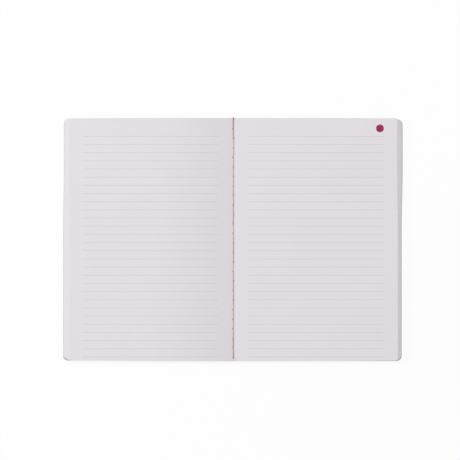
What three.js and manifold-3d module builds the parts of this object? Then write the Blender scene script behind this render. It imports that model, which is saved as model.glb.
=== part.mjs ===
// A soft-covered A5 planner, sewn through its fold and lying open at its middle sheet.
// Millimetres. X runs across the open pages, Y towards their head and Z up from the table.
// The origin lies under the middle of the fold.
//
// The sheets are folded one inside another and trimmed together while closed, so a sheet
// that wraps round the others is longer by a quarter turn of its own depth on each side.
// That is what makes the fore-edges fan out when the planner lies open.

import * as THREE from "three";
import { mergeVertices } from "three/addons/utils/BufferGeometryUtils.js";
import Module from "manifold-3d";

const wasm = await Module();
wasm.setup();

// Trimmed size: the height, and the reach from the fold's axis to the closed fore-edge
const PAGE_HEIGHT = 210;
const CLOSED_REACH = 140.8;
const CORNER_RADIUS = 4;

// Section of folded sheets and the card cover round it
const SHEET_COUNT = 20;
const PAPER_THICKNESS = 0.13;
const LEAF_CLEARANCE = 0.01;
const CARD_THICKNESS = 0.35;
const FOLD_SEAM = 0.05;

// Lock stitch along the fold: the needle's thread inside, the bobbin's thread outside
const STITCH_COUNT = 25;
const HEAD_HOLE_MARGIN = 1.1;
const TAIL_HOLE_MARGIN = 3.65;
const HOLE_RADIUS = 0.5;
const THREAD_RADIUS = 0.4;
const THREAD_REST = 0.05;
const TAIL_TO_EDGE = 0.1;
const END_PAST_HOLE = 2.4;

// What the tension of the stitch does to the thread at each hole
const PULLED_NARROWER = 0.1;
const PULLED_DOWN = 0.13;
const PULL_SHARPNESS = 6;
const STEM_RADIUS = 0.3;
const LOCK_GAP = 0.3;

// The bobbin's thread is pressed flat into a bed in the card, clear of the table
const BOBBIN_HALF_WIDTH = 0.35;
const BOBBIN_HALF_THICKNESS = 0.1;
const BOBBIN_ABOVE_TABLE = 0.02;
const BED_SIDE_CLEARANCE = 0.08;
const BED_TOP_CLEARANCE = 0.05;

// Fineness of the round shapes
const CORNER_SEGMENTS = 6;
const HOLE_SIDES = 8;
const STEM_SIDES = 6;
const NEEDLE_SIDES = 8;
const BOBBIN_SIDES = 6;
const RINGS_PER_STITCH = 6;
const CUT_OVERRUN = 1;

const leafPitch = PAPER_THICKNESS + LEAF_CLEARANCE;
const sectionBottom = CARD_THICKNESS + LEAF_CLEARANCE;
const sectionTop = sectionBottom + SHEET_COUNT * leafPitch - LEAF_CLEARANCE;
const foldAxisHeight = sectionTop + THREAD_REST + THREAD_RADIUS;
const coverDepth = foldAxisHeight - CARD_THICKNESS / 2;
const headEdge = PAGE_HEIGHT / 2;
const firstHole = headEdge - HEAD_HOLE_MARGIN;
const lastHole = -headEdge + TAIL_HOLE_MARGIN;
const stitchPitch = (firstHole - lastHole) / STITCH_COUNT;
const lockHeight = sectionTop / 2;

// Sheet 1 is the innermost one, which lies open on top, and the last lies on the cover.
const leafBottom = (sheet) => sectionBottom + (SHEET_COUNT - sheet) * leafPitch;
const leafDepth = (sheet) => foldAxisHeight - leafBottom(sheet) - PAPER_THICKNESS / 2;

// Half the length of paper that a fold at this depth takes up when the planner closes
const bendLength = (depth) => (Math.PI / 2) * depth;

const paper = new THREE.MeshStandardMaterial({ color: 0xe3dfe5, roughness: 0.85, metalness: 0 });
const card = new THREE.MeshStandardMaterial({ color: 0xb4b1b3, roughness: 0.7, metalness: 0 });
const thread = new THREE.MeshStandardMaterial({ color: 0xb59a80, roughness: 0.9, metalness: 0 });

function named(name, geometry, material, height = 0) {
  const mesh = new THREE.Mesh(geometry, material);
  mesh.name = name;
  mesh.position.z = height;
  return mesh;
}

function solidOf(geometry) {
  const bare = geometry.clone();
  bare.deleteAttribute("normal");
  bare.deleteAttribute("uv");
  const welded = mergeVertices(bare);
  return new wasm.Manifold(
    new wasm.Mesh({
      numProp: 3,
      vertProperties: new Float32Array(welded.attributes.position.array),
      triVerts: new Uint32Array(welded.index.array),
    }),
  );
}

function geometryOf(solid) {
  const mesh = solid.getMesh();
  const geometry = new THREE.BufferGeometry();
  geometry.setAttribute("position", new THREE.BufferAttribute(mesh.vertProperties, 3));
  geometry.setIndex(new THREE.BufferAttribute(mesh.triVerts, 1));
  return geometry;
}

// One panel of paper or card, from near the fold to its round outer corners.
// side is -1 for the left half of the open planner and 1 for the right half.
function panel(side, inner, outer, thickness) {
  const shape = new THREE.Shape();
  const turn = CORNER_RADIUS;
  shape.moveTo(inner, -headEdge);
  shape.lineTo(outer - turn, -headEdge);
  shape.absarc(outer - turn, -headEdge + turn, turn, -Math.PI / 2, 0, false);
  shape.absarc(outer - turn, headEdge - turn, turn, 0, Math.PI / 2, false);
  shape.lineTo(inner, headEdge);
  shape.closePath();
  const geometry = new THREE.ExtrudeGeometry(shape, {
    depth: thickness,
    bevelEnabled: false,
    curveSegments: CORNER_SEGMENTS,
  });
  if (side < 0) geometry.rotateZ(Math.PI);
  return geometry;
}

function leaf(side, sheet) {
  const bend = bendLength(leafDepth(sheet));
  const sideName = side < 0 ? "left" : "right";
  const name = `${sideName}_leaf_${String(sheet).padStart(2, "0")}`;
  const shape = panel(side, bend + FOLD_SEAM, CLOSED_REACH + bend, PAPER_THICKNESS);
  return named(name, shape, paper, leafBottom(sheet));
}

function coverPanel(side) {
  const bend = bendLength(coverDepth);
  const shape = panel(side, bend + FOLD_SEAM, CLOSED_REACH + bend, CARD_THICKNESS);
  return named(side < 0 ? "front_cover" : "back_cover", shape, card);
}

// A bar along the fold with the given cross-section, written as [x, z] corners
function foldBar(corners) {
  const shape = new THREE.Shape(corners.map(([x, z]) => new THREE.Vector2(x, z)));
  const geometry = new THREE.ExtrudeGeometry(shape, { depth: PAGE_HEIGHT, bevelEnabled: false });
  geometry.rotateX(Math.PI / 2);
  geometry.translate(0, headEdge, 0);
  return geometry;
}

function upright(radius, sides, bottom, top, along) {
  const geometry = new THREE.CylinderGeometry(radius, radius, top - bottom, sides);
  geometry.rotateX(Math.PI / 2);
  geometry.translate(0, along, (top + bottom) / 2);
  return geometry;
}

function atEachHole(make) {
  return Array.from({ length: STITCH_COUNT + 1 }, (_, hole) => make(firstHole - hole * stitchPitch));
}

function withHoles(solid, bottom, top) {
  const punches = atEachHole((along) =>
    solidOf(upright(HOLE_RADIUS, HOLE_SIDES, bottom - CUT_OVERRUN, top + CUT_OVERRUN, along)),
  );
  return solid.subtract(wasm.Manifold.union(punches));
}

// The bent strips of all the sheets, drawn together by the thread: each strip is wider
// than the one that it wraps round, so the sides go down in steps of one sheet.
function sectionFold() {
  const side = [];
  for (let sheet = 1; sheet <= SHEET_COUNT; sheet += 1) {
    const half = bendLength(leafDepth(sheet));
    const bottom = sheet < SHEET_COUNT ? leafBottom(sheet) - LEAF_CLEARANCE : leafBottom(sheet);
    side.push([half, sheet === 1 ? sectionTop : side.at(-1)[1]], [half, bottom]);
  }
  const mirrored = side.map(([x, z]) => [-x, z]).reverse();
  const bar = solidOf(foldBar([...side, ...mirrored]));
  return named("section_fold", geometryOf(withHoles(bar, sectionBottom, sectionTop)), paper);
}

// The strip of card between the two creases, with the bed of the bobbin's thread below
function coverSpine() {
  const half = bendLength(coverDepth);
  const strip = [[-half, 0], [half, 0], [half, CARD_THICKNESS], [-half, CARD_THICKNESS]];
  const bedHalf = BOBBIN_HALF_WIDTH + BED_SIDE_CLEARANCE;
  const bedTop = BOBBIN_ABOVE_TABLE + 2 * BOBBIN_HALF_THICKNESS + BED_TOP_CLEARANCE;
  const bed = [[-bedHalf, -CUT_OVERRUN], [bedHalf, -CUT_OVERRUN], [bedHalf, bedTop], [-bedHalf, bedTop]];
  const grooved = solidOf(foldBar(strip)).subtract(solidOf(foldBar(bed)));
  return named("cover_spine", geometryOf(withHoles(grooved, 0, CARD_THICKNESS)), card);
}

// How hard the stitch pulls at a place along the fold: 1 at a hole and 0 between two holes
function pullAt(along) {
  const stitches = (firstHole - along) / stitchPitch;
  return Math.abs(Math.cos(Math.PI * stitches)) ** PULL_SHARPNESS;
}

// A closed tube along the fold. sectionAt gives the half width, half thickness and height.
function run(sides, from, to, sectionAt) {
  const rings = Math.round(((from - to) / stitchPitch) * RINGS_PER_STITCH);
  const points = [];
  const faces = [];
  for (let ring = 0; ring <= rings; ring += 1) {
    const along = from + ((to - from) * ring) / rings;
    const { halfWidth, halfThickness, height } = sectionAt(along);
    for (let side = 0; side < sides; side += 1) {
      const turn = (2 * Math.PI * (side + 0.5)) / sides;
      points.push(halfWidth * Math.cos(turn), along, height + halfThickness * Math.sin(turn));
    }
  }
  for (let ring = 0; ring < rings; ring += 1) {
    for (let side = 0; side < sides; side += 1) {
      const a = ring * sides + side;
      const b = ring * sides + ((side + 1) % sides);
      faces.push(a, b, b + sides, a, b + sides, a + sides);
    }
  }
  const last = rings * sides;
  for (let side = 1; side < sides - 1; side += 1) {
    faces.push(0, side + 1, side, last, last + side, last + side + 1);
  }
  const geometry = new THREE.BufferGeometry();
  geometry.setAttribute("position", new THREE.Float32BufferAttribute(points, 3));
  geometry.setIndex(faces);
  return geometry;
}

// The thread that shows in the gutter: it runs along the fold and dives into each hole.
function needleThread() {
  const laid = run(NEEDLE_SIDES, headEdge - TAIL_TO_EDGE, lastHole - END_PAST_HOLE, (along) => {
    const pull = pullAt(along);
    const radius = THREAD_RADIUS - PULLED_NARROWER * pull;
    return { halfWidth: radius, halfThickness: radius, height: foldAxisHeight - PULLED_DOWN * pull };
  });
  const stems = atEachHole((along) =>
    solidOf(upright(STEM_RADIUS, STEM_SIDES, lockHeight + LOCK_GAP / 2, foldAxisHeight, along)),
  );
  return named("needle_thread", geometryOf(solidOf(laid).add(wasm.Manifold.union(stems))), thread);
}

// The thread on the outside of the spine, which comes up each hole to meet the other one
function bobbinThread() {
  const middle = BOBBIN_ABOVE_TABLE + BOBBIN_HALF_THICKNESS;
  const laid = run(BOBBIN_SIDES, headEdge - TAIL_TO_EDGE, lastHole - END_PAST_HOLE, (along) => ({
    halfWidth: BOBBIN_HALF_WIDTH - (PULLED_NARROWER / 2) * pullAt(along),
    halfThickness: BOBBIN_HALF_THICKNESS,
    height: middle,
  }));
  const stems = atEachHole((along) =>
    solidOf(upright(STEM_RADIUS, STEM_SIDES, middle, lockHeight - LOCK_GAP / 2, along)),
  );
  return named("bobbin_thread", geometryOf(solidOf(laid).add(wasm.Manifold.union(stems))), thread);
}

function half(side) {
  const group = new THREE.Group();
  group.add(coverPanel(side));
  for (let sheet = SHEET_COUNT; sheet >= 1; sheet -= 1) group.add(leaf(side, sheet));
  return group;
}

function sewnFold() {
  const group = new THREE.Group();
  group.add(coverSpine(), sectionFold(), bobbinThread(), needleThread());
  return group;
}

const planner = new THREE.Group();
planner.add(half(-1), half(1), sewnFold());

export default planner;
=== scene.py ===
# A soft-covered planner, sewn through its fold and lying open at its middle sheet.
# Metres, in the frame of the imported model: X runs across the pages, Y towards their head, Z up.

import math
import random

import bpy
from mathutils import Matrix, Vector, noise


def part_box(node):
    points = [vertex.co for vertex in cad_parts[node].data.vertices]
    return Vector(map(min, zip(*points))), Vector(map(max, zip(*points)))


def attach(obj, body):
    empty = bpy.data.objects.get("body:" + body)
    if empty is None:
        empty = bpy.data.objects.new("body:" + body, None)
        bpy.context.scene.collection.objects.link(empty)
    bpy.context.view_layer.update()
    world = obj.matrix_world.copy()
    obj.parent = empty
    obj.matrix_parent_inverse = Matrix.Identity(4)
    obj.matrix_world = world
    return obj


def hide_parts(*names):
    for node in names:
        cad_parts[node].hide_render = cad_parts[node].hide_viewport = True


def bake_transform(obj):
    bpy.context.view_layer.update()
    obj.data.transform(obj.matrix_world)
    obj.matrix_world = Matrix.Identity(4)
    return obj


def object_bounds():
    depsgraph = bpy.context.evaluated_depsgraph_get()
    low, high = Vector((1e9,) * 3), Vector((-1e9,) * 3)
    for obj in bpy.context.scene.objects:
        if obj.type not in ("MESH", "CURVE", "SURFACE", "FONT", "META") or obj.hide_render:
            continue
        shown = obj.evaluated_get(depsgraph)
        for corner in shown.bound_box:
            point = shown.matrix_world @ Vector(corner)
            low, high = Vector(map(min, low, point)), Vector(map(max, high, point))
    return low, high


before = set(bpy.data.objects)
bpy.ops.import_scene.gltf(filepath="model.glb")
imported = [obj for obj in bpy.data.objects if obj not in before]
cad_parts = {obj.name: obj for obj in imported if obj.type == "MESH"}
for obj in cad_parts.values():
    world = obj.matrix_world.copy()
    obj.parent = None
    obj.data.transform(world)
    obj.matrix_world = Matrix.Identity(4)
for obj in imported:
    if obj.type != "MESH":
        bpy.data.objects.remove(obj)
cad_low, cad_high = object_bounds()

MM = 0.001
SHEETS = 20
# A side is -1 for the left pages and the front cover, and 1 for the right pages and the back cover.
SIDE_NAMES = {-1: "left", 1: "right"}
COVER_NAMES = {-1: "front", 1: "back"}

# Fold and stitching
FOLD_AXIS = 3.6 * MM
HOLE_RADIUS = 0.45 * MM
FIRST_HOLE = 103.9 * MM
STITCH_PITCH = 8.21 * MM
STITCHES = 25
LAST_HOLE = FIRST_HOLE - STITCHES * STITCH_PITCH
# The page that turns is held flat by the thread as far as this, and bends from there.
UNDER_THREAD = 0.46 * MM

# Fineness of the meshes
# Pages and panels have steps across and rows. The strips at the fold have steps round half a hole and
# from one hole to the next.
SHOWN_SHEETS = 2
SHOWN_PAGE_STEPS = (25, 30)
HIDDEN_PAGE_STEPS = (13, 20)
COVER_STEPS = (13, 20)
CREASE_STEPS = (6, 16)
BESIDE_THREAD_ROWS = 40
CORNER_STEPS = 8
COLUMN_CROWDING = 1.7
BEND_STEPS = 10
SHOWN_HOLE_STEPS = (8, 4)
HIDDEN_HOLE_STEPS = (4, 2)
SHARP_ANGLE = math.radians(32)

# Page shape
# The radius of the outer corners at the tail and at the head: of the top page on both sides, and of the
# lowest page and the cover by side.
TOP_PAGE_CORNERS = (1.8 * MM, 1.8 * MM)
LAST_PAGE_CORNERS = {-1: (5.6 * MM, 2.8 * MM), 1: (5.0 * MM, 5.6 * MM)}
COVER_CORNERS = {-1: (3.6 * MM, 3.6 * MM), 1: (4.4 * MM, 5.2 * MM)}
# How far the open pages rise out of the gutter, over what length they do it, and the slow ripples in them.
VALLEY_LIFT = {-1: 0.55 * MM, 1: 0.3 * MM}
VALLEY_LENGTH = 26 * MM
RIPPLE_LIFT = 0.1 * MM
RIPPLE_LENGTHS = (55 * MM, 47 * MM)
RIPPLE_PLACE = (3.1, 0.4)
# Each leaf is a little too long or too short, by a chance of its own.
TRIM_ERROR = 0.09 * MM
TRIM_SEEDS_PER_SIDE = 100
# How far the fore-edge of the top sheet and of the lowest one stray from the trimmed line, each as the
# stray near the head and the stray further down, and between which heights the one becomes the other.
TOP_STRAY = {-1: (-0.5 * MM, -0.5 * MM), 1: (-0.25 * MM, 0.5 * MM)}
LOW_STRAY = {-1: (0.4 * MM, 1.05 * MM), 1: (0.1 * MM, -0.7 * MM)}
STRAY_CHANGE = (60 * MM, 10 * MM)
# How far the head and the tail run in at the fore-edge, for the sheets and for each panel of the cover,
# and how far the lowest sheet is skewed towards the tail.
SHEET_RUN_IN = (0.3 * MM, 0.75 * MM)
COVER_RUN_IN = {-1: (0.9 * MM, 0.5 * MM), 1: (0.9 * MM, 0.1 * MM)}
SKEW = {-1: 0.1 * MM, 1: 0.4 * MM}

# Cover
# How far its fore-edge stands out past that of the CAD, the bed of the bobbin thread in the outside of
# its spine, and the creases beside the spine.
COVER_PEEK = {-1: -0.2 * MM, 1: 0.15 * MM}
BED_HALF_WIDTH = 0.43 * MM
BED_DEPTH = 0.27 * MM
BED_WALL = 0.03 * MM
CREASE_WIDTH = 1.0 * MM
CREASE_DENT = 0.05 * MM

# Page print
RULES = 28
FIRST_RULE = 89.1 * MM
RULE_PITCH = 7.05 * MM
RULE_INNER_END = 12.8 * MM
RULE_OUTER_END = 129.8 * MM
RULE_END_BLUR = 0.1 * MM
RULE_HALF_WIDTH = 0.21 * MM
RULE_BLUR = 0.25 * RULE_HALF_WIDTH
RULE_STRENGTH = 0.44
MARK_PLACE = (126.6 * MM, 96.0 * MM)
MARK_RADIUS = 3.4 * MM
MARK_BLUR = 0.08 * MM

# Thread
THREAD_HALF_WIDTH = 0.25 * MM
THREAD_HALF_THICKNESS = 0.17 * MM
THREAD_STEP = 0.15 * MM
# How far the thread lies to the right of the middle of the fold, and how far each stitch bows from there.
THREAD_OFF_MIDDLE = 0.06 * MM
THREAD_SWAY = 0.12 * MM
# The middle of the thread is this many half thicknesses above the paper, and in each stitch a little
# higher, by chance.
THREAD_REST = 1.1
THREAD_RISE = 0.06 * MM
PLIES = 3
# Three round plies that touch each other have this share of the radius round them all.
PLY_RADIUS = 1 / (1 + 2 / math.sqrt(3))
PLY_SIDES = 6
STRAND_SIDES = 8
TWIST_PITCH = 2.3 * MM
STITCH_DEPTH = 0.9 * MM
BACK_TACK = 2
KNOT_STEPS = 60
# How far round a loose end curls, in radians.
CURL = 2.2
# Loose fibres. How far each goes along the thread and upwards is a share of its length, and how far it
# goes sideways is a share of what the closed pages leave.
FIBRES = 150
FIBRE_LENGTH = (0.4 * MM, 1.1 * MM)
FIBRE_ALONG = (0.5, 1.0)
FIBRE_UP = (-0.3, 0.8)
FIBRE_OUT = (0.1, 1.0)
FIBRE_REACH = 0.42 * MM
FIBRE_ROOT = 0.8 * THREAD_HALF_WIDTH
FIBRE_RADIUS = 0.018 * MM
FIBRE_CLEAR = 0.03 * MM
FIBRE_STEPS = 5
NEEDLE_SEED = 11
# This is added to the number of a stitch, so that no seed is below nought.
WANDER_SEED = 50

# View, light and floor
# The camera looks straight down at the target from this far above the planner, and sees this width.
VIEW_DISTANCE = 1.5
FRAME_WIDTH = 396.8 * MM
VIEW_TARGET = (-2.8 * MM, 8.3 * MM)
SENSOR_WIDTH = 36
NEAREST_SEEN = 0.05
SURROUND_STRENGTH = 0.607
FLOOR_HALF = 6.0
FLOOR_DROP = 0.02 * MM
FLOOR_GLOW = 0.86

PAGE_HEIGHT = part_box("left_leaf_01")[1].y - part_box("left_leaf_01")[0].y
HEAD = PAGE_HEIGHT / 2


def steps(count):
    """Even shares of a way, from 0 to 1."""
    return [i / count for i in range(count + 1)]


def even_rows(count):
    """Rows along a panel, from -1 at the tail to 1 at the head."""
    return [2 * share - 1 for share in steps(count)]


def mesh_object(name, points, faces, material, uvs=None):
    """A new object with smooth faces, and with edges where its faces meet at a sharp angle."""
    mesh = bpy.data.meshes.new(name)
    mesh.from_pydata(points, [], faces)
    mesh.update()
    if uvs:
        layer = mesh.uv_layers.new(name="Flat")
        for loop in mesh.loops:
            layer.data[loop.index].uv = uvs[loop.vertex_index]
    mesh.materials.append(material)
    mesh.shade_smooth()
    mesh.set_sharp_from_angle(angle=SHARP_ANGLE)
    made = bpy.data.objects.new(name, mesh)
    bpy.context.collection.objects.link(made)
    return made


def slab(columns, rows, place):
    """Points, faces and flat places of a thin closed slab. place gives the x, y, bottom and top of a point
    of its grid."""
    count = len(columns) * len(rows)
    bottoms = []
    tops = []
    flats = []
    for row in rows:
        for column in columns:
            x, y, bottom, top = place(column, row)
            bottoms.append((x, y, bottom))
            tops.append((x, y, top))
            flats.append((x, y))
    across = len(columns)
    faces = []
    for r in range(len(rows) - 1):
        for c in range(across - 1):
            a = r * across + c
            ring = (a, a + 1, a + 1 + across, a + across)
            faces.append(tuple(reversed(ring)))
            faces.append(tuple(count + i for i in ring))
    rim = list(range(across))
    rim += [r * across + across - 1 for r in range(1, len(rows))]
    rim += [(len(rows) - 1) * across + c for c in range(across - 2, -1, -1)]
    rim += [r * across for r in range(len(rows) - 2, 0, -1)]
    for i, a in enumerate(rim):
        b = rim[(i + 1) % len(rim)]
        faces.append((a, b, count + b, count + a))
    return bottoms + tops, faces, flats + flats


def facing_out(faces, side):
    """The same faces, turned over where the slab was drawn mirrored."""
    if side > 0:
        return faces
    return [tuple(reversed(face)) for face in faces]


def reach(node):
    """How far from the fold a node begins and ends."""
    low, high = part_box(node)
    return min(abs(low.x), abs(high.x)), max(abs(low.x), abs(high.x))


def rounded_end(x, outer, radius):
    """How far from the middle of the fold a panel with a round corner ends at x."""
    into_corner = max(0.0, x - (outer - radius))
    return HEAD - radius + math.sqrt(max(0.0, radius ** 2 - into_corner ** 2))


def corner_columns(inner, outer, radii, count):
    """Columns across a panel, close together near the fold and round its outer corners. Each is its x and
    how far it reaches towards the tail and towards the head."""
    straight = outer - max(radii)
    places = [inner + (straight - inner) * share ** COLUMN_CROWDING for share in steps(count)]
    for share in steps(CORNER_STEPS)[1:]:
        places.append(straight + max(radii) * math.sin(math.radians(90 * share)))
    return [(x, [rounded_end(x, outer, radius) for radius in radii]) for x in places]


def along_column(ends, row):
    """The y of a row, from -1 at the tail end of a column to 1 at its head end."""
    tail_end, head_end = ends
    return (head_end - tail_end + (head_end + tail_end) * row) / 2


def between(pair, share):
    """The value at a share of the way from the first of a pair to the second."""
    return pair[0] + (pair[1] - pair[0]) * share


def trimmed(side, share, x, y, outer, run_in, skew):
    """Where a point lies with the small errors of folding and trimming. share is 0 for the top sheet and 1
    for the lowest."""
    upper, lower = STRAY_CHANGE
    down = min(1.0, max(0.0, (upper - y) / (upper - lower)))
    down = down * down * (3 - 2 * down)
    stray = between(TOP_STRAY[side], down) * (1 - share) ** 2 + between(LOW_STRAY[side], down) * share
    end = run_in[0] if y > 0 else run_in[1]
    return x + stray * (x / outer) ** 3, y - (end * y / HEAD + skew) * (x / outer) ** 2


def ripple(side, x, y):
    """A slow unevenness of handled paper, from 0 to 1."""
    across, along = RIPPLE_LENGTHS
    start, level = RIPPLE_PLACE
    return 0.5 + 0.5 * noise.noise(Vector((side * x / across + start, y / along, level)))


def page_lift(side, sheet, along, x, y):
    """How far the paper rises out of the gutter at this distance from its fold strip."""
    share = 1 - (sheet - 1) / SHEETS
    opening = 1 - math.exp(-along / VALLEY_LENGTH)
    return share * opening * (VALLEY_LIFT[side] + RIPPLE_LIFT * (ripple(side, x, y) - 1))


def leaf_piece(side, sheet, material):
    """One page of paper, from its fold strip to its fore-edge."""
    side_name = SIDE_NAMES[side]
    node = f"{side_name}_leaf_{sheet:02d}"
    low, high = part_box(node)
    inner, outer = reach(node)
    outer += random.Random(side * TRIM_SEEDS_PER_SIDE + sheet).uniform(-TRIM_ERROR, TRIM_ERROR)
    share = (sheet - 1) / SHEETS
    corners = [between(pair, share) for pair in zip(TOP_PAGE_CORNERS, LAST_PAGE_CORNERS[side])]
    steps_across, row_count = SHOWN_PAGE_STEPS if sheet <= SHOWN_SHEETS else HIDDEN_PAGE_STEPS
    columns = corner_columns(inner, outer, corners, steps_across)

    def place(column, row):
        x, ends = column
        y = along_column(ends, row)
        lift = page_lift(side, sheet, x - inner, x, y)
        x, y = trimmed(side, share, x, y, outer, SHEET_RUN_IN, SKEW[side] * share)
        return side * x, y, low.z + lift, high.z + lift

    points, faces, _ = slab(columns, even_rows(row_count), place)
    page = mesh_object(f"{side_name}_page_{sheet:02d}", points, facing_out(faces, side), material)
    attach(page, node)
    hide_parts(node)


def hole_rows(arc_steps, gap_steps):
    """Rows along the fold, closer together at the holes. Each is its y and how far the hole cuts in."""
    rows = [(-HEAD, 0.0)]
    for hole in range(STITCHES, -1, -1):
        middle = FIRST_HOLE - hole * STITCH_PITCH
        for share in steps(arc_steps):
            turn = math.pi * share
            rows.append((middle - HOLE_RADIUS * math.cos(turn), HOLE_RADIUS * math.sin(turn)))
        if hole > 0:
            rows += [(middle + STITCH_PITCH * share, 0.0) for share in steps(gap_steps)[1:-1]]
    rows.append((HEAD, 0.0))
    return rows


def strip_points(side, half_width, rows, shares, levels):
    """One half of a bent strip, laid flat. levels gives its bottom and top at a distance from the fold.
    At a hole the whole row is squeezed outwards, and keeps its levels."""

    def place(share, row):
        y, cut = row
        x = cut + (half_width - cut) * share
        bottom, top = levels(half_width * share)
        return side * x, y, bottom, top

    points, faces, uvs = slab(shares, rows, place)
    return points, facing_out(faces, side), uvs


def fold_piece(side, sheet, material):
    """The bent strip of one sheet, from the stitching to where its page begins. That of the page that
    turns is two pieces, the part under the thread and the part beside it."""
    side_name = SIDE_NAMES[side]
    leaf = f"{side_name}_leaf_{sheet:02d}"
    low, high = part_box(leaf)
    half_width, _ = reach(leaf)
    name = f"{side_name}_fold_{sheet:02d}"
    rows = hole_rows(*SHOWN_HOLE_STEPS) if sheet == 1 else hole_rows(*HIDDEN_HOLE_STEPS)
    shares = steps(BEND_STEPS)

    def levels(_):
        return low.z, high.z

    if leaf != "right_leaf_01":
        points, faces, uvs = strip_points(side, half_width, rows, shares, levels)
        strip = mesh_object(name, points, faces, material, uvs)
        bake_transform(strip)
        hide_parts("section_fold")
        return

    def outer_place(share, row):
        x = UNDER_THREAD + (half_width - UNDER_THREAD) * share
        return x, row * HEAD, low.z, high.z

    points, faces, uvs = strip_points(side, UNDER_THREAD, rows, shares, levels)
    inner = mesh_object(f"{name}_under_thread", points, faces, material, uvs)
    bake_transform(inner)
    points, faces, uvs = slab(shares, even_rows(BESIDE_THREAD_ROWS), outer_place)
    outer = mesh_object(f"{name}_beside_thread", points, faces, material, uvs)
    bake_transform(outer)
    for strip in (inner, outer):
        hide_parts("section_fold")


def cover_pieces(side, strip_card, panel_card):
    """Half of the card cover: its strip of the spine, the crease beside it and the panel."""
    short = COVER_NAMES[side]
    node = f"{short}_cover"
    low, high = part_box(node)
    inner, outer = reach(node)
    thickness = high.z - low.z
    crease_end = inner + CREASE_WIDTH

    def spine_levels(x):
        return (BED_DEPTH if x < BED_HALF_WIDTH + BED_WALL / 2 else 0.0), thickness

    # Shares of the half width: a column in the bed, and where the even ones begin.
    in_bed = 0.04
    past_bed = 0.15
    shares = [0.0, in_bed, BED_HALF_WIDTH / inner, (BED_HALF_WIDTH + BED_WALL) / inner]
    shares += [between((past_bed, 1.0), share) for share in steps(BEND_STEPS)]
    points, faces, uvs = strip_points(side, inner, hole_rows(*HIDDEN_HOLE_STEPS), shares, spine_levels)
    spine = mesh_object(f"{short}_spine_half", points, faces, strip_card, uvs)
    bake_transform(spine)
    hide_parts("cover_spine")

    def crease_place(share, row):
        dent = CREASE_DENT * math.sin(math.pi * share) ** 2
        return side * between((inner, crease_end), share), row * HEAD, dent, thickness - dent

    steps_across, row_count = CREASE_STEPS
    points, faces, uvs = slab(steps(steps_across), even_rows(row_count), crease_place)
    crease = mesh_object(f"{short}_crease", points, facing_out(faces, side), strip_card, uvs)
    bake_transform(crease)
    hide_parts(node)

    def panel_place(column, row):
        x, ends = column
        x, y = trimmed(side, 1.0, x, along_column(ends, row), outer, COVER_RUN_IN[side], 0.0)
        return side * x, y, 0.0, thickness

    steps_across, row_count = COVER_STEPS
    columns = corner_columns(crease_end, outer + COVER_PEEK[side], COVER_CORNERS[side], steps_across)
    points, faces, _ = slab(columns, even_rows(row_count), panel_place)
    panel = mesh_object(f"{short}_panel", points, facing_out(faces, side), panel_card)
    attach(panel, node)
    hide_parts(node)


def tube_faces(start, rings, sides):
    """Faces of a closed tube whose points lie ring after ring."""
    faces = []
    for i in range(rings - 1):
        for k in range(sides):
            a = start + i * sides + k
            b = start + i * sides + (k + 1) % sides
            faces.append((a, b, b + sides, a + sides))
    last = start + (rings - 1) * sides
    faces.append(tuple(start + k for k in reversed(range(sides))))
    faces.append(tuple(last + k for k in range(sides)))
    return faces


def heading(path, i):
    """Where a path goes at one of its points, as the way from the point before it to the one after it."""
    return path[min(i + 1, len(path) - 1)] - path[max(i - 1, 0)]


def plied(path, wide, thick):
    """Points and faces of twisted plies laid along a path in the plane of the fold."""
    lengths = [0.0]
    for a, b in zip(path, path[1:]):
        lengths.append(lengths[-1] + (b - a).length)
    across = Vector((1, 0, 0))
    shift = 1 - PLY_RADIUS
    points = []
    faces = []
    for ply in range(PLIES):
        faces += tube_faces(len(points), len(path), PLY_SIDES)
        for i, middle in enumerate(path):
            ahead = heading(path, i)
            ahead.x = 0
            up = ahead.normalized().cross(across)
            turn = 2 * math.pi * (lengths[i] / TWIST_PITCH + ply / PLIES)
            for k in range(PLY_SIDES):
                edge = turn + 2 * math.pi * k / PLY_SIDES
                sideways = shift * math.cos(turn) + PLY_RADIUS * math.cos(edge)
                upward = shift * math.sin(turn) + PLY_RADIUS * math.sin(edge)
                points.append(middle + across * (wide * sideways) + up * (thick * upward))
    return points, faces


def strand(path, radius):
    """Points and faces of a plain round strand along a smooth path that is nowhere upright."""
    points = []
    for i, middle in enumerate(path):
        ahead = heading(path, i).normalized()
        side = ahead.cross(Vector((0, 0, 1))).normalized()
        lift = side.cross(ahead)
        for k in range(STRAND_SIDES):
            turn = 2 * math.pi * k / STRAND_SIDES
            points.append(middle + side * (radius * math.cos(turn)) + lift * (radius * math.sin(turn)))
    return points, tube_faces(0, len(path), STRAND_SIDES)


def join(parts):
    """Several lists of points and faces as one."""
    points = []
    faces = []
    for more_points, more_faces in parts:
        offset = len(points)
        points += more_points
        faces += [tuple(offset + i for i in face) for face in more_faces]
    return points, faces


def wander(y):
    """How far the thread strays from the middle of the fold. Each stitch bows its own way."""
    stitches = (FIRST_HOLE - y) / STITCH_PITCH
    bow = random.Random(math.floor(stitches) + WANDER_SEED).uniform(-1, 1)
    return THREAD_OFF_MIDDLE + THREAD_SWAY * bow * math.sin(math.pi * (stitches % 1))


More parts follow.
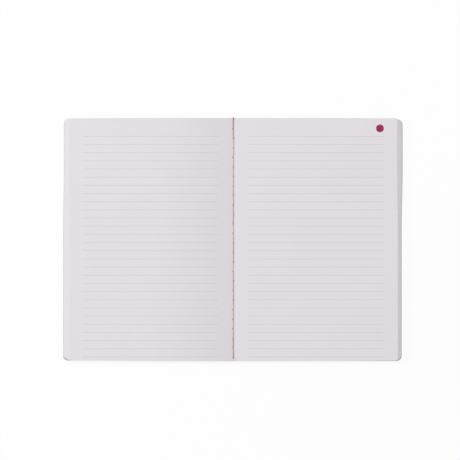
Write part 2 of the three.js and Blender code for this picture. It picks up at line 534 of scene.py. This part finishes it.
def stitch_path(stitch, surface, height, depth):
    """One stitch, from inside its upper hole, over the surface and down into its lower hole. surface and
    height are how high the surface and the stitch's middle lie, and depth is how far it goes in."""
    bend = 0.36 * MM
    inset = 0.12 * MM
    roundness = 1.3
    depth_at_rim = 0.7
    upper = FIRST_HOLE - stitch * STITCH_PITCH
    lower = upper - STITCH_PITCH
    run = upper - lower - 2 * inset
    path = [Vector((wander(upper), upper - inset, surface - depth))]
    for share in steps(round(run / THREAD_STEP)):
        along = run * share
        near_hole = min(along, run - along)
        rise = 1 - math.exp(-((near_hole / bend) ** roundness))
        y = upper - inset - along
        z = surface - depth * depth_at_rim * (1 - rise) + (height - surface) * rise
        path.append(Vector((wander(y), y, z)))
    path.append(Vector((wander(lower), lower + inset, surface - depth)))
    return path


def needle_stitches(rng, surface):
    """The stitches over the paper. The first and the last ones are sewn twice, side by side."""
    beside_place = 0.24 * MM
    beside_radius = 0.15 * MM
    made_room = 0.08 * MM
    parts = []
    for stitch in range(STITCHES):
        height = surface + THREAD_REST * THREAD_HALF_THICKNESS + rng.uniform(0.0, THREAD_RISE)
        path = stitch_path(stitch, surface, height, STITCH_DEPTH)
        if stitch < BACK_TACK or stitch >= STITCHES - BACK_TACK:
            side = -1 if stitch < BACK_TACK else 1
            beside = [Vector((side * beside_place, point.y, point.z)) for point in path]
            parts.append(plied(beside, beside_radius, beside_radius))
            path = [Vector((-side * made_room, point.y, point.z)) for point in path]
        parts.append(plied(path, THREAD_HALF_WIDTH, THREAD_HALF_THICKNESS))
    return join(parts)


def head_tail():
    """The thread's tail at the head, up out of the first hole and past the edge of the page."""
    count = 13
    start = FIRST_HOLE + 0.1 * MM
    length = 2.2 * MM
    climb = 0.5 * MM
    below_axis = 0.05 * MM
    drift = -0.25 * MM
    radius = 0.3 * MM
    path = []
    for share in steps(count):
        z = FOLD_AXIS - climb * (1 - share) ** 2 - below_axis
        path.append(Vector((drift * share ** 2, start + share * length, z)))
    return plied(path, radius, radius)


def cut_end():
    """The cut end of the thread past the last hole."""
    count = 15
    start = LAST_HOLE - 0.6 * MM
    length = 2.4 * MM
    bow = 0.12 * MM
    fall = 0.12 * MM
    radius = 0.24 * MM
    path = []
    for share in steps(count):
        x = bow * math.sin(CURL * share)
        path.append(Vector((x, start - share * length, FOLD_AXIS - fall * share)))
    return plied(path, radius, radius)


def knot(middle):
    """A small overhand knot pulled tight against the paper."""
    across = 0.09 * MM
    along = 0.26 * MM
    upward = 0.15 * MM
    below_axis = 0.05 * MM
    radius = 0.17 * MM
    path = []
    for share in steps(KNOT_STEPS):
        turn = 2 * math.pi * share
        x = across * (math.sin(turn) + 2 * math.sin(2 * turn))
        y = along * (math.cos(turn) - 2 * math.cos(2 * turn))
        z = -upward * math.sin(3 * turn)
        path.append(Vector((x, middle + y, FOLD_AXIS - below_axis + z)))
    return strand(path, radius)


def fibres(rng, surface):
    """Loose fibres that stand out of the thread, most of them along it and upwards."""
    lowest = surface + FIBRE_CLEAR
    parts = []
    for _ in range(FIBRES):
        y = rng.uniform(LAST_HOLE, FIRST_HOLE)
        side = rng.choice((-1, 1))
        length = rng.uniform(*FIBRE_LENGTH)
        along = rng.choice((-1, 1)) * length * rng.uniform(*FIBRE_ALONG)
        out = side * rng.uniform(*FIBRE_OUT) * (FIBRE_REACH - FIBRE_ROOT)
        up = rng.uniform(*FIBRE_UP) * length
        path = []
        for share in steps(FIBRE_STEPS):
            x = wander(y) * (1 - share) + side * FIBRE_ROOT + out * share
            z = surface + THREAD_HALF_THICKNESS + up * math.sin(CURL * share)
            path.append(Vector((x, y + along * share, max(lowest, z))))
        parts.append(strand(path, FIBRE_RADIUS))
    return join(parts)


def thread_piece(name, parts, material):
    """One object of all the parts of a thread."""
    points, faces = join(parts)
    return mesh_object(name, points, faces, material)


def needle_thread(material):
    """The thread in the gutter: stitches, the tail at the head, knots, the cut end and loose fibres."""
    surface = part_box("left_leaf_01")[1].z
    rng = random.Random(NEEDLE_SEED)
    head_knot = FIRST_HOLE + 0.5 * MM
    tail_knot = LAST_HOLE - 0.4 * MM
    parts = [needle_stitches(rng, surface), head_tail(), knot(head_knot), knot(tail_knot), cut_end()]
    parts.append(fibres(rng, surface))
    made = thread_piece("needle_thread_stitches", parts, material)
    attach(made, "spine")
    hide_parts("needle_thread")


def bobbin_thread(material):
    """The thread on the outside of the spine, pressed flat into its bed in the card. Seen from the bed,
    its holes lead upwards, so its depth is less than nought."""
    low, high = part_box("bobbin_thread")
    middle = 0.12 * MM
    bed = 0.25 * MM
    depth = -0.5 * MM
    half_width = 0.34 * MM
    end_half_width = 0.3 * MM
    half_thickness = 0.1 * MM
    end_steps = 5
    parts = []
    for stitch in range(STITCHES):
        path = stitch_path(stitch, bed, middle, depth)
        for point in path:
            point.x = 0
        parts.append(plied(path, half_width, half_thickness))
    for ends in ((high.y, FIRST_HOLE), (LAST_HOLE, low.y)):
        path = [Vector((0, between(ends, share), middle)) for share in steps(end_steps)]
        parts.append(plied(path, end_half_width, half_thickness))
    made = thread_piece("bobbin_thread_stitches", parts, material)
    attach(made, "spine")
    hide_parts("bobbin_thread")


class Nodes:
    """Short calls for building one node tree."""

    def __init__(self, name, specular):
        self.material = bpy.data.materials.new(name)
        self.material.use_nodes = True
        self.tree = self.material.node_tree
        self.shader = self.tree.nodes["Principled BSDF"]
        self.shader.inputs["Specular IOR Level"].default_value = specular

    def connect(self, node, key, value):
        """Gives an input of a node a value, or a link where the value is another node's output."""
        if isinstance(value, bpy.types.NodeSocket):
            self.tree.links.new(value, node.inputs[key])
        else:
            node.inputs[key].default_value = value

    def add(self, kind, inputs=None, **settings):
        """A new node with these settings and inputs."""
        node = self.tree.nodes.new(kind)
        for key, value in settings.items():
            setattr(node, key, value)
        for key, value in (inputs or {}).items():
            self.connect(node, key, value)
        return node

    def math(self, operation, a, b=0.0, c=0.0):
        return self.add("ShaderNodeMath", {0: a, 1: b, 2: c}, operation=operation).outputs[0]

    def smooth(self, value, start, end):
        """0 up to start and 1 from end, or the other way round where end is the smaller."""
        node = self.add("ShaderNodeMapRange", {"Value": value, "From Min": start, "From Max": end})
        node.interpolation_type = "SMOOTHSTEP"
        return node.outputs["Result"]

    def mix(self, amount, a, b):
        return self.add("ShaderNodeMix", {0: amount, 6: a, 7: b}, data_type="RGBA").outputs[2]

    def tint(self, colour, where, amount, tone):
        """A colour moved towards a tone, by an amount where the mask is 1."""
        return self.mix(self.math("MULTIPLY", where, amount), colour, tone)

    def average(self, a, b, share):
        """Two values as one, of which share is the second's part."""
        return self.math("ADD", self.math("MULTIPLY", a, 1 - share), self.math("MULTIPLY", b, share))

    def split(self, vector):
        """The three parts of a vector."""
        parts = self.add("ShaderNodeSeparateXYZ", {0: vector}).outputs
        return parts["X"], parts["Y"], parts["Z"]

    def object_place(self):
        return self.add("ShaderNodeTexCoord").outputs["Object"]

    def flat_place(self):
        return self.add("ShaderNodeUVMap", uv_map="Flat").outputs["UV"]

    def noise(self, place, size, detail, stretch=None):
        """A cloudy noise with spots of about this size, drawn out where stretch is less than 1."""
        if stretch:
            stretched = self.add("ShaderNodeVectorMath", {0: place, 1: stretch}, operation="MULTIPLY")
            place = stretched.outputs[0]
        inputs = {"Vector": place, "Scale": 1 / size, "Detail": detail, "Roughness": NOISE_ROUGHNESS}
        return self.add("ShaderNodeTexNoise", inputs).outputs["Fac"]

    def finish(self, colour, roughness, height, distance, strength):
        """Joins up the shader. The bumps are as high as distance, and weakened to strength."""
        bump = self.add("ShaderNodeBump", {"Strength": strength, "Distance": distance, "Height": height})
        self.connect(self.shader, "Base Color", colour)
        self.connect(self.shader, "Roughness", roughness)
        self.connect(self.shader, "Normal", bump.outputs[0])
        return self.material


def srgb(red, green, blue):
    """A colour written in 0 to 255, as the shader takes it."""

    def linear(value):
        value /= 255
        return value / 12.92 if value <= 0.04045 else ((value + 0.055) / 1.055) ** 2.4

    return (linear(red), linear(green), linear(blue), 1.0)


# Colours
PAPER_LIGHT = srgb(231, 226, 232)
PAPER_DARK = srgb(227, 221, 228)
# The grey of the painted shade on the left pages towards the fold.
GUTTER_SHADE_TONE = srgb(215, 209, 216)
# Painted shade on the cut edges, which are greyer than the faces of the paper.
CUT_EDGE_SHADE_TONE = srgb(213, 207, 213)
UNHANDLED_TONE = srgb(230, 228, 232)
# The grey of the painted shade round the holes.
HOLE_SHADE_TONE = srgb(112, 104, 96)
RULE_TONE = srgb(178, 178, 185)
MARK_TONE = srgb(150, 12, 78)
CARD_LIGHT = srgb(189, 188, 186)
CARD_DARK = srgb(172, 171, 169)
CARD_FLECK = srgb(152, 151, 149)
THREAD_LIGHT = srgb(213, 173, 134)
THREAD_DARK = srgb(163, 126, 90)
# The painted shade of the thread where it lies below the paper, in the holes.
THREAD_SHADE_TONE = srgb(98, 84, 66)
THREAD_REDDISH = srgb(166, 98, 84)
THREAD_HEAD = srgb(150, 84, 80)
THREAD_TAIL = srgb(132, 92, 72)
THREAD_CUT = srgb(232, 219, 204)
FLOOR_TONE = (0.96, 0.96, 0.96, 1)
WHITE = (1, 1, 1, 1)

# Most of a noise lies between these values.
NOISE_RANGE = (0.3, 0.7)
NOISE_ROUGHNESS = 0.55
# Roughness follows the fibres. These are the noise values at which it would reach 0 and 1, so that it
# stays between about 0.7 and 0.86 on paper, 0.58 and 0.79 on card and 0.5 and 0.72 on thread.
PAPER_ROUGHNESS = (-1.6, 1.4)
CARD_ROUGHNESS = (-1.2, 1.5)
THREAD_ROUGHNESS = (-1.0, 1.6)
FLOOR_ROUGHNESS = 0.9
PAPER_SPECULAR = 0.25
CARD_SPECULAR = 0.3
THREAD_SPECULAR = 0.35
THREAD_SHEEN = 0.25
# The height of the bumps and the strength they are drawn with.
PAPER_BUMP = (0.03 * MM, 0.5)
CARD_BUMP = (0.06 * MM, 0.6)
THREAD_BUMP = (0.05 * MM, 0.7)

# A face that is turned up or down by less than this is a cut edge of the paper.
FACE_TURNED = 0.5
# Further out than this the lower left pages look out from under the top one. They are less handled.
UNHANDLED_FROM = 141.0 * MM
UNHANDLED_BLUR = 0.4 * MM
# Where the painted shade on the left pages would be strongest and where it ends, and how strong it is.
GUTTER_SHADE_REACH = (-10 * MM, 75 * MM)
GUTTER_SHADE = 0.55
# The painted shade round a hole: how far it is pulled to a side, its full and its faded radius, and the
# least strength and what chance adds to it.
HOLE_PULL = 0.5 * MM
HOLE_SPOT = (0.3 * MM, 0.95 * MM)
HOLE_STRENGTH = (0.45, 0.4)


def paper_ground(nodes, place):
    """Uncoated paper: a faint cloud, short fibres and a fine tooth."""
    cloud = nodes.noise(place, size=30 * MM, detail=2.0)
    fibre = nodes.noise(place, size=0.55 * MM, detail=4.0, stretch=(1.0, 0.35, 1.0))
    tooth = nodes.noise(place, size=0.16 * MM, detail=3.0)
    mottle = nodes.average(cloud, fibre, share=0.85)
    colour = nodes.mix(nodes.smooth(mottle, *NOISE_RANGE), PAPER_DARK, PAPER_LIGHT)
    roughness = nodes.smooth(fibre, *PAPER_ROUGHNESS)
    height = nodes.average(fibre, tooth, share=0.4)
    return colour, roughness, height


def painted_gutter_shade(nodes, side, colour, distance):
    """Painted shade: the left pages are a little greyer towards the fold, in the gutter."""
    if side > 0:
        return colour
    strongest, end = GUTTER_SHADE_REACH
    gutter_shaded = nodes.smooth(distance, end, strongest)
    return nodes.tint(colour, gutter_shaded, GUTTER_SHADE, GUTTER_SHADE_TONE)


def distance_from(nodes, x, y, centre_x, centre_y):
    """How far a place is from a point of the page."""
    dx = nodes.math("SUBTRACT", x, centre_x)
    dy = nodes.math("SUBTRACT", y, centre_y)
    squares = nodes.math("ADD", nodes.math("MULTIPLY", dx, dx), nodes.math("MULTIPLY", dy, dy))
    return nodes.math("SQRT", squares)


def painted_hole_shade(nodes, colour, place, x, y):
    """Painted shade round each hole: grey paper, pulled to one side or the other by the stitch."""
    from_first = nodes.math("SUBTRACT", FIRST_HOLE + STITCH_PITCH / 2, y)
    hole = nodes.math("FLOOR", nodes.math("DIVIDE", from_first, STITCH_PITCH))
    chance = nodes.add("ShaderNodeTexWhiteNoise", {"W": hole}, noise_dimensions="1D").outputs
    to_right = nodes.smooth(chance["Value"], start=0.35, end=0.65)
    pull = nodes.math("MULTIPLY", nodes.math("SUBTRACT", to_right, 0.5), 2 * HOLE_PULL)
    cell = nodes.math("MODULO", from_first, STITCH_PITCH)
    distance = distance_from(nodes, x, cell, pull, STITCH_PITCH / 2)
    full, faded = HOLE_SPOT
    spot = nodes.smooth(distance, faded, full)
    _, second_chance, _ = nodes.split(chance["Color"])
    least, added = HOLE_STRENGTH
    strength = nodes.math("MULTIPLY_ADD", second_chance, added, least)
    spot_breakup = nodes.smooth(nodes.noise(place, size=0.35 * MM, detail=3.0), start=0.2, end=0.6)
    return nodes.tint(colour, spot, nodes.math("MULTIPLY", strength, spot_breakup), HOLE_SHADE_TONE)


def fold_paper(name, side):
    """The paper of the fold strips, with painted shade round each hole."""
    nodes = Nodes(name, PAPER_SPECULAR)
    place = nodes.flat_place()
    x, y, _ = nodes.split(place)
    colour, roughness, height = paper_ground(nodes, place)
    # Painted shade of the gutter on the left strips.
    colour = painted_gutter_shade(nodes, side, colour, nodes.math("ABSOLUTE", x))
    # Painted shade round each hole.
    colour = painted_hole_shade(nodes, colour, place, x, y)
    return nodes.finish(colour, roughness, height, *PAPER_BUMP)


def rule_ink(nodes, place, reach_out, y):
    """Where the rules are printed: thin, a little uneven, and within their frame."""
    below_first = nodes.math("SUBTRACT", FIRST_RULE + RULE_PITCH / 2, y)
    cell = nodes.math("MODULO", below_first, RULE_PITCH)
    off_rule = nodes.math("ABSOLUTE", nodes.math("SUBTRACT", cell, RULE_PITCH / 2))
    ink = nodes.smooth(off_rule, RULE_HALF_WIDTH + RULE_BLUR, RULE_HALF_WIDTH - RULE_BLUR)
    limits = (
        nodes.math("GREATER_THAN", below_first, 0.0),
        nodes.math("LESS_THAN", below_first, RULES * RULE_PITCH),
        nodes.smooth(reach_out, RULE_INNER_END - RULE_END_BLUR, RULE_INNER_END + RULE_END_BLUR),
        nodes.smooth(reach_out, RULE_OUTER_END + RULE_END_BLUR, RULE_OUTER_END - RULE_END_BLUR),
        nodes.smooth(nodes.noise(place, size=0.5 * MM, detail=2.0), start=0.1, end=0.5),
    )
    for limit in limits:
        ink = nodes.math("MULTIPLY", ink, limit)
    return ink


def mark_ink(nodes, place, x, y, upward):
    """Where the plain round dot at the head is printed, on the upper face only."""
    distance = distance_from(nodes, x, y, *MARK_PLACE)
    disc = nodes.smooth(distance, MARK_RADIUS + MARK_BLUR, MARK_RADIUS - MARK_BLUR)
    disc = nodes.math("MULTIPLY", disc, nodes.math("GREATER_THAN", upward, FACE_TURNED))
    solid = nodes.smooth(nodes.noise(place, size=0.3 * MM, detail=3.0), start=0.2, end=0.45)
    return nodes.math("MULTIPLY", disc, solid)


def ruled_paper(name, side):
    """A page: printed rules on both faces, and on a right page a plain round dot at the head."""
    nodes = Nodes(name, PAPER_SPECULAR)
    place = nodes.object_place()
    x, y, _ = nodes.split(place)
    reach_out = nodes.math("ABSOLUTE", x)
    _, _, upward = nodes.split(nodes.add("ShaderNodeTexCoord").outputs["Normal"])
    colour, roughness, height = paper_ground(nodes, place)
    # Painted shade of the gutter on the left pages.
    colour = painted_gutter_shade(nodes, side, colour, reach_out)
    # Painted shade round each hole.
    colour = painted_hole_shade(nodes, colour, place, x, y)
    colour = nodes.tint(colour, rule_ink(nodes, place, reach_out, y), RULE_STRENGTH, RULE_TONE)
    if side < 0:
        unhandled = nodes.smooth(reach_out, UNHANDLED_FROM, UNHANDLED_FROM + UNHANDLED_BLUR)
        colour = nodes.mix(unhandled, colour, UNHANDLED_TONE)
    else:
        colour = nodes.mix(mark_ink(nodes, place, x, y, upward), colour, MARK_TONE)
    # Painted shade: the faces turned sideways, the cut edges, are greyer than the faces of the page.
    cut_edge = nodes.math("LESS_THAN", nodes.math("ABSOLUTE", upward), FACE_TURNED)
    colour = nodes.mix(cut_edge, colour, CUT_EDGE_SHADE_TONE)
    return nodes.finish(colour, roughness, height, *PAPER_BUMP)


def cover_card(name, is_strip):
    """Plain grey card with long pressed fibres and a few darker flecks."""
    nodes = Nodes(name, CARD_SPECULAR)
    place = nodes.flat_place() if is_strip else nodes.object_place()
    cloud = nodes.noise(place, size=45 * MM, detail=2.0)
    fibre = nodes.noise(place, size=0.9 * MM, detail=5.0, stretch=(0.4, 1.0, 1.0))
    flecks = nodes.smooth(nodes.noise(place, size=0.5 * MM, detail=2.0), start=0.66, end=0.74)
    tone = nodes.average(cloud, fibre, share=0.8)
    colour = nodes.mix(nodes.smooth(tone, *NOISE_RANGE), CARD_DARK, CARD_LIGHT)
    colour = nodes.tint(colour, flecks, amount=0.35, tone=CARD_FLECK)
    roughness = nodes.smooth(fibre, *CARD_ROUGHNESS)
    return nodes.finish(colour, roughness, fibre, *CARD_BUMP)


def thread_stuff(name):
    """Waxed tan thread with fine fibres along the plies: painted shade where it goes down into the holes,
    reddish in stretches and at the head, browner towards the tail and pale where it is cut."""
    nodes = Nodes(name, THREAD_SPECULAR)
    nodes.shader.inputs["Sheen Weight"].default_value = THREAD_SHEEN
    place = nodes.object_place()
    _, y, z = nodes.split(place)
    fibre = nodes.noise(place, size=0.12 * MM, detail=4.0, stretch=(1.0, 0.3, 1.0))
    patch = nodes.noise(place, size=7 * MM, detail=2.0)
    tone = nodes.average(fibre, patch, share=0.5)
    colour = nodes.mix(nodes.smooth(tone, *NOISE_RANGE), THREAD_DARK, THREAD_LIGHT)
    # Painted shade: darker where the thread lies below the paper, in the holes; the bobbin thread lies all
    # below it and is darkened all over.
    below_paper_shade = nodes.smooth(z, start=FOLD_AXIS - 0.25 * MM, end=FOLD_AXIS - 0.55 * MM)
    colour = nodes.tint(colour, below_paper_shade, amount=0.75, tone=THREAD_SHADE_TONE)
    patches = nodes.smooth(nodes.noise(place, size=24 * MM, detail=1.0), start=0.45, end=0.62)
    below_middle = nodes.smooth(y, start=10 * MM, end=-50 * MM)
    above_tail = nodes.smooth(y, start=-90 * MM, end=-72 * MM)
    stretch = nodes.math("MULTIPLY", below_middle, above_tail)
    least_red = 0.6
    reddish = nodes.math("MAXIMUM", patches, nodes.math("MULTIPLY", stretch, least_red))
    colour = nodes.tint(colour, reddish, amount=0.5, tone=THREAD_REDDISH)
    head = nodes.smooth(y, start=96 * MM, end=102 * MM)
    colour = nodes.tint(colour, head, amount=0.6, tone=THREAD_HEAD)
    tail = nodes.smooth(y, start=-100.2 * MM, end=-101.2 * MM)
    colour = nodes.tint(colour, tail, amount=0.5, tone=THREAD_TAIL)
    cut = nodes.smooth(y, start=-102.4 * MM, end=-103.2 * MM)
    colour = nodes.mix(cut, colour, THREAD_CUT)
    roughness = nodes.smooth(fibre, *THREAD_ROUGHNESS)
    return nodes.finish(colour, roughness, fibre, *THREAD_BUMP)


def build_planner():
    """Every piece of the planner, in its material."""
    spine_card = cover_card("spine card", is_strip=True)
    panel_card = cover_card("cover card", is_strip=False)
    for side, side_name in SIDE_NAMES.items():
        page_paper = ruled_paper(f"{side_name} page paper", side)
        strip_paper = fold_paper(f"{side_name} fold paper", side)
        for sheet in range(1, SHEETS + 1):
            leaf_piece(side, sheet, page_paper)
            fold_piece(side, sheet, strip_paper)
        cover_pieces(side, spine_card, panel_card)
    stuff = thread_stuff("tan thread")
    needle_thread(stuff)
    bobbin_thread(stuff)


def floor_paint():
    """Pale paint that glows white to the camera, stops no light on its way to the planner, and is clear
    from below."""
    nodes = Nodes("floor paint", specular=0.0)
    nodes.shader.inputs["Base Color"].default_value = FLOOR_TONE
    nodes.shader.inputs["Roughness"].default_value = FLOOR_ROUGHNESS
    ray = nodes.add("ShaderNodeLightPath").outputs
    seen = nodes.math("MAXIMUM", ray["Is Camera Ray"], ray["Is Glossy Ray"])
    seen = nodes.math("MAXIMUM", seen, ray["Is Transmission Ray"])
    glow = nodes.add("ShaderNodeEmission", {"Color": WHITE, "Strength": 1.0})
    glowing = nodes.math("MULTIPLY", seen, FLOOR_GLOW)
    lit = nodes.add("ShaderNodeMixShader", {0: glowing, 1: nodes.shader.outputs[0], 2: glow.outputs[0]})
    clear = nodes.add("ShaderNodeBsdfTransparent")
    below = nodes.add("ShaderNodeNewGeometry").outputs["Backfacing"]
    passing = nodes.math("MAXIMUM", ray["Is Diffuse Ray"], ray["Is Shadow Ray"])
    passing = nodes.math("MAXIMUM", passing, below)
    paint = nodes.add("ShaderNodeMixShader", {0: passing, 1: lit.outputs[0], 2: clear.outputs[0]})
    nodes.connect(nodes.tree.nodes["Material Output"], "Surface", paint.outputs[0])
    return nodes.material


def build_floor():
    """A plain floor just under the planner, white but for the planner's own shadow."""
    half = FLOOR_HALF
    corners = [(-half, -half, 0), (half, -half, 0), (half, half, 0), (-half, half, 0)]
    mesh = bpy.data.meshes.new("floor")
    mesh.from_pydata(corners, [], [(0, 1, 2, 3)])
    mesh.materials.append(floor_paint())
    floor = bpy.data.objects.new("floor", mesh)
    floor.location.z = -FLOOR_DROP
    bpy.context.collection.objects.link(floor)


def area_light(name, azimuth, elevation, distance, size, power):
    """A soft lamp that looks at the middle of the planner."""
    data = bpy.data.lights.new(name, "AREA")
    data.shape = "DISK"
    data.size = size
    data.energy = power
    lamp = bpy.data.objects.new(name, data)
    turn = math.radians(azimuth)
    rise = math.radians(elevation)
    towards = Vector((math.cos(turn) * math.cos(rise), math.sin(turn) * math.cos(rise), math.sin(rise)))
    lamp.location = towards * distance
    lamp.rotation_euler = towards.to_track_quat("Z", "Y").to_euler()
    bpy.context.collection.objects.link(lamp)


def build_light():
    """A low key lamp from the left, a large one overhead, and a plain surround that the camera sees as
    white."""
    world = bpy.data.worlds.new("studio")
    bpy.context.scene.world = world
    world.use_nodes = True
    tree = world.node_tree
    background = tree.nodes["Background"]
    background.inputs["Color"].default_value = WHITE
    ray = tree.nodes.new("ShaderNodeLightPath").outputs
    strength = None
    for kind in ("Is Camera Ray", "Is Glossy Ray", "Is Transmission Ray"):
        seen = tree.nodes.new("ShaderNodeMath")
        seen.operation = "MAXIMUM"
        seen.inputs[0].default_value = SURROUND_STRENGTH
        if strength is not None:
            tree.links.new(strength, seen.inputs[0])
        tree.links.new(ray[kind], seen.inputs[1])
        strength = seen.outputs[0]
    tree.links.new(strength, background.inputs["Strength"])
    area_light("key", azimuth=168, elevation=17, distance=2.6, size=0.5, power=31)
    area_light("top", azimuth=95, elevation=68, distance=2.4, size=1.6, power=15)


def build_camera():
    """A camera straight above the planner, which sees as much of it as the photograph."""
    data = bpy.data.cameras.new("camera")
    data.sensor_width = SENSOR_WIDTH
    data.lens = SENSOR_WIDTH * VIEW_DISTANCE / FRAME_WIDTH
    data.clip_start = NEAREST_SEEN
    camera = bpy.data.objects.new("camera", data)
    camera.location = (*VIEW_TARGET, VIEW_DISTANCE + cad_high.z)
    bpy.context.collection.objects.link(camera)
    bpy.context.scene.camera = camera


build_camera()
build_light()
build_floor()
build_planner()
bpy.context.scene.view_settings.view_transform = "Standard"
